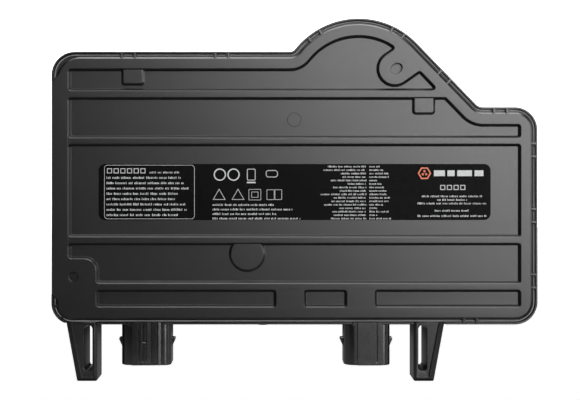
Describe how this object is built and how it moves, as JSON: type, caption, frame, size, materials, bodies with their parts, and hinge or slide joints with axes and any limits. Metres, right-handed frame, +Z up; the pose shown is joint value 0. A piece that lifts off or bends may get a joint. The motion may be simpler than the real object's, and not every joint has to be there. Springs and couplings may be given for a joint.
{
  "type": "micro inverter",
  "caption": "Flat black moulded micro inverter for one solar panel, with slotted feet, plug-in DC and AC connectors and a status light in its bottom edge.",
  "frame": {"origin": "centre of the case's width and depth, in the plane that the two feet stand on", "axes": "+X along the case to the viewer's right as the label is read, +Y from the labelled front to the back, +Z up"},
  "size_m": [0.2834, 0.03, 0.2118],
  "materials": {
    "casing": "satin moulded, fine grain",
    "connector": "smooth satin moulded",
    "seal": "matt",
    "label": "satin printed film",
    "lens": "clear, polished",
    "insulator": "matt moulded",
    "contact": "plated, smooth",
    "board": "solder-masked laminate",
    "aluminium": "plain sheet",
    "pad": "matt",
    "ferrite": "matt sintered",
    "copper": "enamelled wire, lacquered",
    "can": "printed sleeve on an aluminium can",
    "film": "moulded box",
    "chip": "matt moulded",
    "steel": "plated",
    "ceramic": "lacquered"
  },
  "bodies": {
    "root": {"front_cover": "casing", "rear_housing": "casing", "perimeter_seal": "seal", "foot_left": "casing", "foot_right": "casing", "rating_label": "label", "status_lens": "lens", "dc_connector_shell": "connector", "dc_connector_insert": "insulator", "dc_connector_gasket": "seal", "dc_contact_positive": "contact", "dc_contact_negative": "contact", "ac_connector_shell": "connector", "ac_connector_insert": "insulator", "ac_connector_gasket": "seal", "ac_contact_1": "contact", "ac_contact_2": "contact", "ac_contact_3": "contact", "circuit_board": "board", "board_screw_1": "steel", "board_screw_2": "steel", "board_screw_3": "steel", "board_screw_4": "steel", "bracket_insert_1": "contact", "bracket_insert_2": "contact", "bracket_insert_3": "contact", "heat_spreader": "aluminium", "thermal_pad": "pad", "power_switch_1": "chip", "input_capacitor_1": "can", "power_switch_2": "chip", "input_capacitor_2": "can", "power_switch_3": "chip", "input_capacitor_3": "can", "power_switch_4": "chip", "input_capacitor_4": "can", "transformer_core_back": "ferrite", "transformer_core_front": "ferrite", "transformer_winding": "copper", "resonant_choke_core": "ferrite", "resonant_choke_winding": "copper", "output_choke_core": "ferrite", "output_choke_winding": "copper", "film_capacitor_1": "film", "film_capacitor_2": "film", "control_chip": "chip", "radio_shield": "steel", "surge_varistor": "ceramic", "fuse": "ceramic", "status_led": "lens"}
  },
  "joints": []
}
